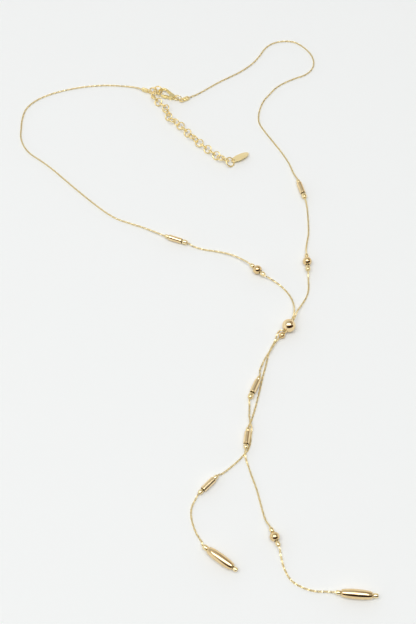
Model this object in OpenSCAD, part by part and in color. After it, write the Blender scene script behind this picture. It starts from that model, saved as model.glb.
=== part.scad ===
// Tassel necklace, lying on a flat surface at z = 0.
// Two strands of fine chain start at the clasp end (+Y), meet in a sliding ball
// and run on as two tails of beads (-Y). Lengths are in millimetres.

/* [Fine chain] */
// Thickness of a strand
chain_d = 0.7; // [0.6:0.05:0.7]

/* [Beads] */
// Length of a tube bead
tube_l = 6.5; // [6:0.1:6.6]
// Length of the tube bead where the tails cross
short_tube_l = 5.6; // [5.4:0.1:5.8]
// Diameter of a tube bead
tube_d = 2.7; // [2.4:0.1:2.8]
// Rounding of a tube bead's shoulders
tube_round = 0.2; // [0.15:0.05:0.25]
// Diameter of a tube bead's open ends
tube_mouth = 2.1; // [2:0.05:2.15]
// Diameter of the round beads on the upper strands
round_d = 4.2; // [4:0.1:4.3]
// Diameter of the round bead on the tail
tail_round_d = 4; // [3.8:0.1:4.2]
// Length of a long oval bead
long_l = 12.2; // [11:0.2:12.6]
// Diameter of a long oval bead at its middle
long_d = 3.9; // [3.4:0.1:4.2]
// Diameter of a long oval bead's flat ends
long_end_d = 2; // [1.9:0.1:2.4]
// Diameter of a long oval bead's open ends
long_mouth = 1.6; // [1.4:0.1:1.7]
// Diameter of the sliding ball
ball_d = 6; // [5.6:0.1:6]
// Diameter of the stopper bead under the ball
stopper_d = 2.8; // [2.4:0.1:2.8]
// Diameter of a round bead's open ends
round_mouth = 1.8; // [1.5:0.1:1.9]
// Depth of the beads' open ends
mouth_depth = 0.8; // [0.5:0.1:1]
// Bore of a bead that sits on one strand
bead_bore = 1; // [0.9:0.05:1.1]
// Bore of the ball, which both strands pass through
ball_bore = 2; // [1.9:0.05:2.2]
// How far each strand lies from the middle of the ball's bore
strand_offset = 0.42; // [0.4:0.01:0.45]

/* [Crimps] */
// Bore of a crimp bead
crimp_bore = 0.9; // [0.85:0.05:1]
// Diameter of a crimp's ends, as a share of its middle
crimp_end = 0.72; // [0.6:0.02:0.9]
// Space between a bead and the crimp before it
crimp_gap = 0.1; // [0.1:0.02:0.2]

/* [End caps] */
// Length of an end cap's folded body
cap_l = 3.2; // [3:0.1:3.4]
// Width of an end cap
cap_w = 2.4; // [2:0.1:2.6]
// Height of an end cap
cap_h = 1.5; // [1.4:0.1:1.6]
// Width of the seam where the folded flaps meet
cap_seam = 0.16; // [0.1:0.02:0.3]

/* [Rings] */
// Radius of a jump ring, at the middle of its wire
jump_r = 1.95; // [1.9:0.01:2]
// Thickness of a jump ring's wire
jump_wire = 0.7; // [0.5:0.05:0.7]
// Radius of the catch ring
catch_r = 2; // [1.95:0.01:2.05]
// Thickness of the catch ring's wire
catch_wire = 0.65; // [0.5:0.05:0.65]
// Radius of the ring between the clasp and its end cap
tail_ring_r = 1.95; // [1.9:0.01:2]
// Thickness of that ring's wire
tail_ring_wire = 0.5; // [0.45:0.05:0.5]
// Radius of the eyes on the caps and the clasp
eye_r = 1.1; // [1.09:0.01:1.12]
// Thickness of the eyes' wire
eye_wire = 0.5; // [0.45:0.05:0.5]

/* [Extender] */
// Radius of an extender link, at the middle of its wire
link_r = 1.9; // [1.88:0.01:1.92]
// Thickness of an extender link's wire
link_wire = 0.6; // [0.5:0.05:0.6]
// Radius of the ring at the end of the extender
end_ring_r = 2.25; // [2.2:0.01:2.3]
// Thickness of the end ring's wire
end_ring_wire = 0.65; // [0.5:0.05:0.65]
// Length of the oval tag
tag_l = 10.2; // [10:0.1:10.4]
// Width of the oval tag
tag_w = 4.7; // [4.4:0.1:5]
// Thickness of the oval tag
tag_t = 0.45; // [0.4:0.05:0.5]
// Radius of the tag's hole
tag_hole_r = 0.75; // [0.7:0.05:0.8]

/* [Clasp] */
// Thickness of the clasp's body where the lever is hinged
clasp_t = 1.9; // [1.8:0.05:2]
// Radius of the hook's bend, at the middle of its bar
hook_r = 2.6; // [2.5:0.05:2.7]
// Width of the hook's bar, in the clasp's own plane
hook_w = 1.15; // [1.05:0.05:1.2]
// Thickness of the hook's bar
hook_t = 1.5; // [1.4:0.05:1.55]
// Radius of the hinge pin
pin_r = 0.4; // [0.3:0.05:0.45]
// Running clearance round the hinge pin
pin_gap = 0.05; // [0.04:0.01:0.06]
// Thickness of the lever's root, in the body's slot
lever_root_t = 0.8; // [0.7:0.05:0.85]
// Width of the slot for the lever
slot_t = 1; // [0.95:0.05:1.1]

/* [Hidden] */
GOLD = [0.86, 0.69, 0.40];
PALE_GOLD = [0.90, 0.76, 0.47];
$fn = 48;

// Bead rows: name, kind, x, y, heading, pitch, crimp before, crimp after, lift, space after.
// A crimp is as long as it is thick, and 0 means that the bead has none on that side.
// Lift is the height of a bead above where it would lie on the surface. Space after is
// the space between a bead and the crimp after it.
NAME = 0; KIND = 1; AT_X = 2; AT_Y = 3; HEADING = 4; PITCH = 5; BEFORE = 6; AFTER = 7; LIFT = 8;
SPACE = 9;
BEADS = [
    ["tube_bead_1", "tube", -0.9, 20, -21, 0, 1.9, 2.4, 0, 0.3],
    ["tube_bead_2", "tube", 59.8, 50.6, -75, 0, 1.9, 2.5, 0, 0.4],
    ["tube_bead_3", "tube", 34.9, -58.5, -113, 0, 1.9, 2.5, 0, 0.5],
    ["tube_bead_4", "short_tube", 30.9, -83, -98, 0, 1.9, 2, 0, 0.1],
    ["tube_bead_5", "tube", 14.7, -104, -134, 0, 1.9, 2, 0, 0.3],
    ["round_bead_1", "round", 37.3, 2.1, -44, 0, 2, 2.2, 0, 0.2],
    ["round_bead_2", "round", 60.6, 6.8, -88, 0, 1.9, 2.4, 0, 0.6],
    ["round_bead_3", "tail_round", 41.1, -126.7, -68, 0, 1.9, 1.9, 0, 0.2],
    ["long_bead_1", "long", 19.4, -135.6, -37, 0, 2.2, 1.9, 0, 0.2],
    ["long_bead_2", "long", 72.2, -149.9, -5, 0, 1.9, 2, 0, 0.2],
    ["slider_ball", "ball", 50.6, -28.7, -124, -15, 0, 0, 0, 0],
    ["stopper_bead", "stopper", 47.5, -32.9, -135, -10, 0, 0, 0.1, 0],
];

// Kinds of bead: kind, length, diameter, bore
SIZES = [
    ["tube", tube_l, tube_d, bead_bore],
    ["short_tube", short_tube_l, tube_d, bead_bore],
    ["round", round_d, round_d, bead_bore],
    ["tail_round", tail_round_d, tail_round_d, bead_bore],
    ["long", long_l, long_d, bead_bore],
    ["ball", ball_d, ball_d, ball_bore],
    ["stopper", stopper_d, stopper_d, bead_bore],
];

function row(table, name) = [for (r = table) if (r[0] == name) r][0];
function length_of(b) = row(SIZES, b[KIND])[1];
function diameter_of(b) = row(SIZES, b[KIND])[2];
function bore_of(b) = row(SIZES, b[KIND])[3];
function centre_of(b) = [b[AT_X], b[AT_Y], diameter_of(b) / 2 + b[LIFT]];
function along(heading, pitch) = [cos(heading) * cos(pitch), sin(heading) * cos(pitch), sin(pitch)];
function direction_of(b) = along(b[HEADING], b[PITCH]);
function crimp_of(b, side) = side < 0 ? b[BEFORE] : b[AFTER];
function gap_of(b, side) = side < 0 ? crimp_gap : b[SPACE];
function reach(b, side) =
    length_of(b) / 2 + (crimp_of(b, side) > 0 ? crimp_of(b, side) + gap_of(b, side) : 0);

// A strand's route is a list of points [x, y, z, mark]. Mark 1 is where a straight stretch
// begins and mark 2 where it ends, at a bead's two sides and in an end cap.
FREE = 0; BEGINS = 1; ENDS = 2;
function marked(p, mark) = [p.x, p.y, p.z, mark];
function through(name, side = 0, cut = 0) =
    let (b = row(BEADS, name), d = direction_of(b), c = centre_of(b),
         off = side * [-d.y, d.x, 0] / norm([d.x, d.y]))
    [marked(c - d * reach(b, -1) + off, BEGINS),
     marked(c + d * (reach(b, 1) - cut) + off, ENDS)];
function lying(points) = [for (p = points) [p.x, p.y, len(p) > 2 ? p.z : chain_d / 2, FREE]];

end_cut = 0.3;
cap_depth = 3;
left_mouth = [-19.7, 115.9, eye_r + eye_wire / 2];
left_heading = -22;
right_mouth = [4.6, 110.6, cap_h / 2];
right_heading = 208;
function in_cap(mouth, heading) = mouth + (cap_depth - 0.1) * along(heading, 0);

LEFT_ROUTE = concat(
    [marked(in_cap(left_mouth, left_heading), BEGINS), marked(left_mouth, ENDS)],
    lying([[-24, 117.8, 0.8], [-30, 119], [-38, 119.5], [-46, 119], [-54, 117.6], [-62, 115.3],
        [-69, 112.3], [-75, 108.2], [-79, 102.8], [-80.3, 96], [-80.3, 90], [-79.8, 83.5],
        [-77.5, 77.5], [-74, 73], [-69, 69], [-63, 63.8], [-56, 56.8], [-48, 48.8], [-40, 41.2],
        [-34, 36], [-29, 32.6], [-23, 30, 0.5], [-16, 27, 0.9], [-11, 24.5, 1.2]]),
    through("tube_bead_1"),
    lying([[8, 16, 0.8], [13, 14.5, 0.5], [19, 13.2, 0.8], [25, 11.2, 1.3], [30, 8.5, 1.6]]),
    through("round_bead_1"),
    lying([[44, -2.9, 1.2], [48, -6, 0.5], [51.5, -10.5], [53.3, -15.5, 0.8], [53.4, -21, 2.2]]),
    through("slider_ball", -strand_offset),
    lying([[46.9, -30.7, 2.1], [45.5, -32.1, 1.7], [44.8, -34.1, 1], [43.8, -36.3], [42.5, -38.8],
        [41.3, -41.8], [40.1, -47], [38.5, -53], [36.9, -60], [34.9, -68], [33, -74.4],
        [32.1, -76.6, 0.8]]),
    through("tube_bead_4"),
    lying([[30, -90.2, 1.2], [30.3, -92.4, 0.7], [31.1, -95], [32.6, -100], [34.5, -106],
        [36.6, -115], [37.8, -119.4, 0.8]]),
    through("round_bead_3"),
    lying([[43.3, -133.8, 1], [44.5, -139], [47, -143.8], [51, -146.6], [56, -148.3, 0.6],
        [60.5, -148.7, 1.2]]),
    through("long_bead_2", cut = end_cut));

RIGHT_ROUTE = concat(
    [marked(in_cap(right_mouth, right_heading), BEGINS), marked(right_mouth, ENDS)],
    lying([[9, 113.2, 0.5], [14, 117], [20, 121.6], [26, 125.5], [32, 129.6], [38, 135.2],
        [42, 140.9], [45, 146.2], [49, 149.9], [55, 151.7], [61, 150.9], [66, 146.8],
        [69.4, 141.5], [70.5, 136], [69.2, 131], [65.5, 127], [60, 124.4], [54.5, 121.3],
        [50, 117.8], [46.5, 113.3], [43.5, 109], [41.5, 104], [40.4, 98.5], [40.6, 93.5],
        [43, 88.2], [47.5, 80.5], [51.5, 73.5], [54.6, 67], [56.6, 60.4, 0.8]]),
    through("tube_bead_2"),
    lying([[62.1, 41, 0.7], [62.4, 36], [62.4, 30], [62.2, 24], [61.2, 18.5, 0.6], [60.5, 14, 1.4]]),
    through("round_bead_2"),
    lying([[60.8, -2.5, 0.9], [60.6, -8], [59.3, -12.3], [57, -16.5, 0.9], [54.8, -20.5, 2]]),
    through("slider_ball", strand_offset),
    through("stopper_bead"),
    lying([[44.6, -36.2, 1.3], [43.5, -38, 1.3], [42, -40.6, 1.3], [39.9, -44, 1.1],
        [38.2, -47.6, 0.7], [37.2, -50.4, 1.1]]),
    through("tube_bead_3"),
    lying([[32.3, -67.5, 0.9], [32.2, -70.3, 1.1], [32.1, -73, 1.4], [32.4, -75.4, 1.6],
        [32.7, -76.9, 1.6], [33, -78.4, 1.3], [32.9, -80, 0.7], [32.6, -82], [32.4, -84.3],
        [31.8, -86.9], [31, -88.6], [29.4, -90.5], [27.4, -92.8], [24.2, -95.8],
        [20.5, -99, 0.8]]),
    through("tube_bead_5"),
    lying([[9.6, -109.8, 0.6], [7.8, -114], [7.8, -118.5], [9.6, -124.3], [12, -128.5, 0.8]]),
    through("long_bead_1", cut = end_cut));

function at(p) = [p.x, p.y, p.z];
function unit(v) = v / norm(v);
function tangent(route, i) =
    let (last = len(route) - 1,
         from = route[i][3] == BEGINS ? i : max(i - 1, 0),
         to = route[i][3] == ENDS ? i : min(i + 1, last))
    unit(at(route[to]) - at(route[from]));

// Tube of 8 sides that is swept along a route, with one ring at each of its points
module strand(route, d) {
    sides = 8;
    count = len(route);
    points = [for (i = [0:count - 1])
        let (t = tangent(route, i), side = unit(cross([0, 0, 1], t)), up = cross(t, side))
        for (k = [0:sides - 1])
            let (a = 360 * (k + 0.5) / sides)
            at(route[i]) + d / 2 / cos(180 / sides) * (cos(a) * side + sin(a) * up)];
    walls = [for (i = [0:count - 2], k = [0:sides - 1])
        let (n = (k + 1) % sides)
        [i * sides + n, i * sides + k, (i + 1) * sides + k, (i + 1) * sides + n]];
    start = [[for (k = [0:sides - 1]) k]];
    end = [[for (k = [sides - 1:-1:0]) (count - 1) * sides + k]];
    polyhedron(points, concat(walls, start, end), convexity = 10);
}

module chain_left() { color(PALE_GOLD) strand(LEFT_ROUTE, chain_d); }
module chain_right() { color(PALE_GOLD) strand(RIGHT_ROUTE, chain_d); }

// Carries a piece that is made along +Z to a place, and points it along a heading and pitch
module aim(place, heading, pitch) {
    translate(place) rotate([0, 90 - pitch, heading]) children();
}

// Outline of a barrel along Z, with a bulge between two flat ends
function barrel(l, d, end_d, power, steps) = [for (i = [0:steps])
    let (u = 2 * i / steps - 1)
    [end_d / 2 + (d - end_d) / 2 * pow(1 - pow(abs(u), power), 1 / power), u * l / 2]];

// Outline of a tube along Z, with quarter-round shoulders
function tube(l, d, round) =
    let (shoulder = [for (a = [0:15:90])
             [d / 2 - round + round * cos(a), l / 2 - round + round * sin(a)]],
         lower = [for (i = [len(shoulder) - 1:-1:0]) [shoulder[i].x, -shoulder[i].y]])
    concat(lower, shoulder);

// Turned piece from an outline, with a bore
module drilled(outline, l, bore) {
    rotate_extrude() polygon(concat([[bore / 2, -l / 2]], outline, [[bore / 2, l / 2]]));
}

// Turned piece from an outline, with a bore that is widened to a mouth at both ends
module hollow(outline, l, bore, mouth) {
    deep = l / 2 - mouth_depth;
    near = [[bore / 2, -deep], [mouth / 2, -deep], [mouth / 2, -l / 2]];
    far = [[mouth / 2, l / 2], [mouth / 2, deep], [bore / 2, deep]];
    rotate_extrude() polygon(concat(near, outline, far));
}

// Drilled ball, with its axis along Z, and with a wider mouth at both ends of its bore
module ball(d, bore, mouth = 0) {
    difference() {
        sphere(d = d);
        cylinder(h = d + 1, d = bore, center = true);
        if (mouth > bore) for (side = [-1, 1])
            translate([0, 0, side * d / 2]) cylinder(h = 2 * mouth_depth, d = mouth, center = true);
    }
}

module bead(b) {
    color(GOLD) aim(centre_of(b), b[HEADING], b[PITCH]) {
        if (b[KIND] == "tube" || b[KIND] == "short_tube")
            hollow(tube(length_of(b), tube_d, tube_round), length_of(b), bore_of(b), tube_mouth);
        else if (b[KIND] == "long")
            hollow(barrel(long_l, long_d, long_end_d, 2.2, 24), long_l, bore_of(b), long_mouth);
        else if (b[KIND] == "ball" || b[KIND] == "stopper") ball(diameter_of(b), bore_of(b));
        else ball(diameter_of(b), bore_of(b), round_mouth);
    }
}

// Crimps, in the order of the bead rows: one before and one after each bead that has them
CRIMPS = [for (b = BEADS) for (side = [-1, 1])
    if (crimp_of(b, side) > 0) [b, side, crimp_of(b, side)]];
CRIMP_NAMES = [for (i = [1:len(CRIMPS)]) str("crimp_bead_", i)];

module crimp(c) {
    b = c[0];
    size = c[2];
    place = centre_of(b) + c[1] * (reach(b, c[1]) - size / 2) * direction_of(b);
    color(GOLD) aim(place, b[HEADING], b[PITCH])
        drilled(barrel(size, size, size * crimp_end, 2, 10), size, crimp_bore);
}

// Ring of round wire in the XY plane
module ring(r, wire) {
    rotate_extrude() translate([r, 0]) circle(d = wire);
}

// End cap along +X, from its mouth to its eye, with the folded flaps' seam on top.
// The eye can lie higher than the middle of the body.
cap_edge = 0.35;
seam_depth = 0.4;
right_eye_rise = 0.25;
module end_cap(eye_rise = 0) {
    difference() {
        union() {
            translate([0, 0, -cap_h / 2]) linear_extrude(cap_h) polygon([
                [0, -cap_w / 2 + cap_edge], [cap_edge, -cap_w / 2], [cap_l - cap_edge, -cap_w / 2],
                [cap_l, -cap_w / 2 + 2 * cap_edge], [cap_l, cap_w / 2 - 2 * cap_edge],
                [cap_l - cap_edge, cap_w / 2], [cap_edge, cap_w / 2], [0, cap_w / 2 - cap_edge]]);
            translate([cap_eye, 0, eye_rise]) ring(eye_r, eye_wire);
        }
        translate([-1, 0, 0]) rotate([0, 90, 0]) cylinder(h = cap_depth + 1, d = bead_bore);
        translate([-1, -cap_seam / 2, cap_h / 2 - seam_depth]) cube([cap_l + 0.8, cap_seam, 1]);
    }
}
cap_eye = cap_l + eye_r - eye_wire / 4;
left_eye = left_mouth + cap_eye * along(left_heading, 0);
right_eye = right_mouth + cap_eye * along(right_heading, 0) + [0, 0, right_eye_rise];

module end_cap_left() {
    color(PALE_GOLD) translate(left_mouth) rotate([90, 0, left_heading]) end_cap();
}
module end_cap_right() {
    color(PALE_GOLD) translate(right_mouth) rotate([0, 0, right_heading])
        end_cap(right_eye_rise);
}

// Clasp, in its own frame: +X from the tail eye to the nose, +Y to the lever's side.
// The tail eye is at the frame's origin.
clasp_heading = 155.4;
clasp_pitch = 4.4;
bend = [7.3, 0];
pivot = [2.7, 0.9];
clasp_z = clasp_t / 2 + 0.05;

// The ring at the clasp's tail stands nearly upright, and goes down through both eyes.
// It meets each eye's height this far from its own middle, along the clasp and across it.
tail_ring_lean = 80;
tail_ring_z = tail_ring_r * sin(tail_ring_lean) + tail_ring_wire / 2;
function ring_turn(z) = asin((tail_ring_z - z) / (tail_ring_r * sin(tail_ring_lean)));
function ring_run(z) = tail_ring_r * cos(ring_turn(z));
ring_side = tail_ring_r * cos(tail_ring_lean) * sin(ring_turn((clasp_z + right_eye.z) / 2));
clasp_way = along(clasp_heading, 0);
tail_ring_at = right_eye + ring_run(right_eye.z) * clasp_way + ring_side * [-clasp_way.y, clasp_way.x, 0];
tail_ring_centre = [tail_ring_at.x, tail_ring_at.y, tail_ring_z];
clasp_at = right_eye + (ring_run(right_eye.z) + ring_run(clasp_z)) * clasp_way;
clasp_tail = [clasp_at.x, clasp_at.y, clasp_z];
module on_clasp() {
    translate(clasp_tail) rotate([0, -clasp_pitch, clasp_heading]) children();
}

// Cross-section of the hook's bar: a rounded oblong
BAR = [for (a = [0:15:345])
    let (c = cos(a), s = sin(a))
    [hook_w / 2 * sign(c) * pow(abs(c), 0.8), hook_t / 2 * sign(s) * pow(abs(s), 0.8)]];

// The bend's two ends, seen from its middle, and the place on the hinge block where the
// straight side starts
tip_angle = 60;
arch_angle = 115;
side_start = [2.4, -0.9];
pin_proud = 0.05;
module clasp_body() {
    arch = bend + hook_r * [cos(arch_angle), -sin(arch_angle)];
    arch_run = arch - side_start;
    color(PALE_GOLD) on_clasp() difference() {
        union() {
            ring(eye_r, eye_wire);
            // Bent end of the hook, from the tip on the lever's side round to the arch
            translate(bend) rotate([0, 0, -arch_angle])
                rotate_extrude(angle = arch_angle + tip_angle) translate([hook_r, 0]) polygon(BAR);
            // Straight side of the hook, down to the hinge block
            translate([arch.x, arch.y, 0]) rotate([0, 0, atan2(-arch_run.y, -arch_run.x)])
                rotate([90, 0, 90]) linear_extrude(norm(arch_run)) polygon(BAR);
            // Block that carries the hinge, and its neck to the eye
            translate([0, 0, -clasp_t / 2]) linear_extrude(clasp_t) polygon([
                [0.9, -0.45], [1.7, -1.2], [2.9, -1.5], [3.9, -1.3], [3.8, 0], [3.7, 1.3], [3.2, 1.8],
                [2.4, 1.85], [1.7, 1.4], [0.9, 0.45]]);
        }
        // Slot for the lever, open towards the hook
        translate([pivot.x - 1, -0.35, -slot_t / 2]) cube([3, 3, slot_t]);
    }
    // Hinge pin
    color(PALE_GOLD) on_clasp() translate([pivot.x, pivot.y, -clasp_t / 2 - pin_proud])
        cylinder(h = clasp_t + 2 * pin_proud, r = pin_r);
}

lever_root_r = 0.85;
lever_t = 1.4;
module clasp_lever() {
    tip = [7.75, 2.2];
    color(PALE_GOLD) on_clasp() difference() {
        union() {
            translate([pivot.x, pivot.y, -lever_root_t / 2]) cylinder(h = lever_root_t, r = lever_root_r);
            translate([0, 0, -lever_root_t / 2]) linear_extrude(lever_root_t) polygon([
                [2.9, 0.15], [4.6, 0.75], [tip.x, tip.y - 0.5], [tip.x, tip.y + 0.35], [4.6, 2.1],
                [2.9, 1.7]]);
            translate([4.2, 0, -lever_t / 2]) linear_extrude(lever_t) polygon([
                [0, 0.65], [tip.x - 4.2, tip.y - 0.5], [tip.x - 4.1, tip.y + 0.1],
                [tip.x - 4.4, tip.y + 0.4], [0.6, 2.25], [0, 2]]);
        }
        translate([pivot.x, pivot.y, -2]) cylinder(h = 4, r = pin_r + pin_gap);
    }
}

module jump_ring_right() {
    color(PALE_GOLD) translate(tail_ring_centre) rotate([0, 0, clasp_heading])
        rotate([tail_ring_lean, 0, 0]) ring(tail_ring_r, tail_ring_wire);
}

// The catch ring goes round the hook's nose and through the left jump ring
catch_lean = 62;
catch_past_bar = 0.45;
catch_aside = 0.3;
catch_at = clasp_tail + (bend.x + hook_r + catch_past_bar) * clasp_way
    - catch_aside * [-clasp_way.y, clasp_way.x, 0];
catch_centre = [catch_at.x, catch_at.y, catch_r * sin(catch_lean) + catch_wire / 2];
module catch_ring() {
    color(PALE_GOLD) translate(catch_centre) rotate([0, 0, clasp_heading])
        rotate([-catch_lean, 0, 0]) ring(catch_r, catch_wire);
}

// The left jump ring lies level, held up by the eye of its cap
jump_centre = [-13.94, 114.63, 1.63];
module jump_ring_left() {
    color(PALE_GOLD) translate(jump_centre) ring(jump_r, jump_wire);
}

// Extender links: heading, roll about it, and lift above where the link would lie. Most links
// alternate between two rolls. At two places the chain turns over by a quarter, and at its
// end it stands up to the end ring.
LINKS = [
    [-84, 55, 0], [-62, -50, 0], [-44, 40, 0.1], [-42, -50, 0], [-66, 40, 0.1], [-82, -50, 0],
    [-66, 40, 0.1], [-40, -28, 0.5], [-38, 85, 0], [-50, 18, 0.8], [-54, -50, 0], [-50, 40, 0.1],
    [-50, -28, 0.5], [-46, 85, 0], [-46, 18, 0.8], [-46, -50, 0], [-44, 40, 0.1], [-44, -50, 0],
    [-40, 40, 0.1], [-34, -15, 1.1], [-26, -70, 0.2],
];
LINK_HEADING = 0; LINK_ROLL = 1; LINK_LIFT = 2;
last = len(LINKS) - 1;
link_space = 0.24;
end_link_space = 0.5;
first_link_space = 0.3;
function link_pitch(i) = 2 * (link_r - link_wire / 2) - (i > last - 2 ? end_link_space : link_space);
first_link = [jump_centre.x, jump_centre.y, 0]
    + (jump_r + link_r - (jump_wire + link_wire) / 2 - first_link_space)
        * along(LINKS[0][LINK_HEADING], 0);
function link_place(i) = i == 0 ? first_link
    : link_place(i - 1) + link_pitch(i) / 2
        * (along(LINKS[i - 1][LINK_HEADING], 0) + along(LINKS[i][LINK_HEADING], 0));
function link_height(i) =
    link_r * abs(sin(LINKS[i][LINK_ROLL])) + link_wire / 2 + LINKS[i][LINK_LIFT];
module extender_chain() {
    color(PALE_GOLD) for (i = [0:last])
        translate(link_place(i) + [0, 0, link_height(i)])
            rotate([0, 0, LINKS[i][LINK_HEADING]]) rotate([LINKS[i][LINK_ROLL], 0, 0])
                ring(link_r, link_wire);
}

// End ring: it leans down away from the last link
end_ring_lean = 35;
end_ring_heading = -28;
end_ring_slack = 0.7;
end_ring_at = link_place(last)
    + (end_ring_slack + end_ring_r * cos(end_ring_lean)) * along(LINKS[last][LINK_HEADING], 0);
end_ring_centre = [end_ring_at.x, end_ring_at.y, end_ring_r * sin(end_ring_lean) + end_ring_wire / 2];
module end_ring() {
    color(PALE_GOLD) translate(end_ring_centre) rotate([0, end_ring_lean, end_ring_heading])
        ring(end_ring_r, end_ring_wire);
}

// Oval tag: the end ring goes through its hole, and its far side lies on the surface
tag_heading = 33;
tag_roll = -18;
tag_pitch = 0.85;
tag_hole_from_end = 1.2;
tag_turn = 66;
tag_hole = end_ring_centre
    + end_ring_r * cos(tag_turn) * along(end_ring_heading, -end_ring_lean)
    + end_ring_r * sin(tag_turn) * along(end_ring_heading + 90, 0);
module oval_tag() {
    oval = [for (a = [0:10:350]) [tag_l / 2 * cos(a), tag_w / 2 * sin(a)]];
    color(GOLD) translate(tag_hole) rotate([tag_roll, tag_pitch, tag_heading])
        translate([-tag_hole_from_end, 0, -tag_t / 2]) difference() {
            translate([tag_l / 2, 0, 0]) linear_extrude(tag_t) polygon(oval);
            translate([tag_hole_from_end, 0, -1]) cylinder(h = 3, r = tag_hole_r);
        }
}

chain_left();
chain_right();
end_cap_left();
end_cap_right();
jump_ring_left();
catch_ring();
jump_ring_right();
clasp_body();
clasp_lever();
extender_chain();
end_ring();
oval_tag();
for (b = BEADS) bead(b);
for (i = [0:len(CRIMPS) - 1]) crimp(CRIMPS[i]);
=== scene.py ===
import math

import bpy
import numpy as np
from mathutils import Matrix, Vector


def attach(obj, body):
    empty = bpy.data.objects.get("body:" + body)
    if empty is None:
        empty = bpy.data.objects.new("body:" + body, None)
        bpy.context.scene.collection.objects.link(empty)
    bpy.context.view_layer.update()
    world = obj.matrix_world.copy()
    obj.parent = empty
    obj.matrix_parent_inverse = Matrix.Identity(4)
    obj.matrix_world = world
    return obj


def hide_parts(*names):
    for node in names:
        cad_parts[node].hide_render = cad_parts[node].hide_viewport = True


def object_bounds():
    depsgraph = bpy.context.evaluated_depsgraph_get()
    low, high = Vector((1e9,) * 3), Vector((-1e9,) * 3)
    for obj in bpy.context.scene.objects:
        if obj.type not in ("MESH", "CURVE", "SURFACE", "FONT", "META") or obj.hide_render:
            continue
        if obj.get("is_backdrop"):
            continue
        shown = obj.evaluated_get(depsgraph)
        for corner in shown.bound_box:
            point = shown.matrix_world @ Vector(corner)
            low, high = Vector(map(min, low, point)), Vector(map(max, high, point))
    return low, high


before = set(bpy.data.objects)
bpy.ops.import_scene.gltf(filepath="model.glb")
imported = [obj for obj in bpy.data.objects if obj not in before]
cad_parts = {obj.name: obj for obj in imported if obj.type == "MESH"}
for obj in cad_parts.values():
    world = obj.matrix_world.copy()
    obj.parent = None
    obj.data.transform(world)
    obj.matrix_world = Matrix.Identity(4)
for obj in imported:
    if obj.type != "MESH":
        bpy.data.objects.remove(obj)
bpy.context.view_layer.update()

MM = 0.001

# Camera, as the photograph was taken, from the tails' side: its height above the surface in
# degrees, its place in millimetres, and its lens in pixels of the photograph
CAMERA_RISE = 58
CAMERA_AT = (14.5, -277.8, 413.0)
PHOTO_HIGH = 624
FOCAL_PX = 1074
SENSOR = 36
camera_data = bpy.data.cameras.new("camera")
camera_data.sensor_width = SENSOR
camera_data.lens = FOCAL_PX / PHOTO_HIGH * SENSOR
camera_data.clip_start = 0.01
camera_data.clip_end = 50
camera = bpy.data.objects.new("camera", camera_data)
camera.location = tuple(c * MM for c in CAMERA_AT)
camera.rotation_euler = (math.radians(90 - CAMERA_RISE), 0, 0)
bpy.context.scene.collection.objects.link(camera)
bpy.context.scene.camera = camera
bpy.context.scene.view_settings.view_transform = "Standard"


def turn(x, y, z):
    """Rotation about X, then Y, then Z, in degrees, as a 3 by 3 matrix."""
    cx, cy, cz = (math.cos(math.radians(a)) for a in (x, y, z))
    sx, sy, sz = (math.sin(math.radians(a)) for a in (x, y, z))
    about_x = np.array([[1, 0, 0], [0, cx, -sx], [0, sx, cx]])
    about_y = np.array([[cy, 0, sy], [0, 1, 0], [-sy, 0, cy]])
    about_z = np.array([[cz, -sz, 0], [sz, cz, 0], [0, 0, 1]])
    return about_z @ about_y @ about_x


def along(heading, pitch=0.0):
    """Unit vector that points along a heading from +X and a pitch above the surface."""
    h, p = math.radians(heading), math.radians(pitch)
    return np.array([math.cos(h) * math.cos(p), math.sin(h) * math.cos(p), math.sin(p)])


def unit(v):
    """Vectors scaled to a length of one."""
    return v / np.linalg.norm(v, axis=-1, keepdims=True)


def grid_faces(rows, columns, rows_closed, columns_closed):
    """Quads between neighbouring rows and columns of a grid of points, as indices row by row."""
    r = np.arange(rows if rows_closed else rows - 1)
    c = np.arange(columns if columns_closed else columns - 1)
    r, c = (a.ravel() for a in np.meshgrid(r, c, indexing="ij"))
    r_next, c_next = (r + 1) % rows, (c + 1) % columns
    return np.stack([r * columns + c, r_next * columns + c,
                     r_next * columns + c_next, r * columns + c_next], 1)


def outward(points, faces):
    """Faces of a closed surface, turned over if the volume inside them comes out negative."""
    volume = 0.0
    for f in faces:
        f = np.atleast_2d(f)
        for k in range(1, f.shape[1] - 1):
            a, b, c = points[f[:, 0]], points[f[:, k]], points[f[:, k + 1]]
            volume += np.einsum("ij,ij->i", a, np.cross(b, c)).sum()
    return faces if volume > 0 else [np.atleast_2d(f)[:, ::-1] for f in faces]


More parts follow.
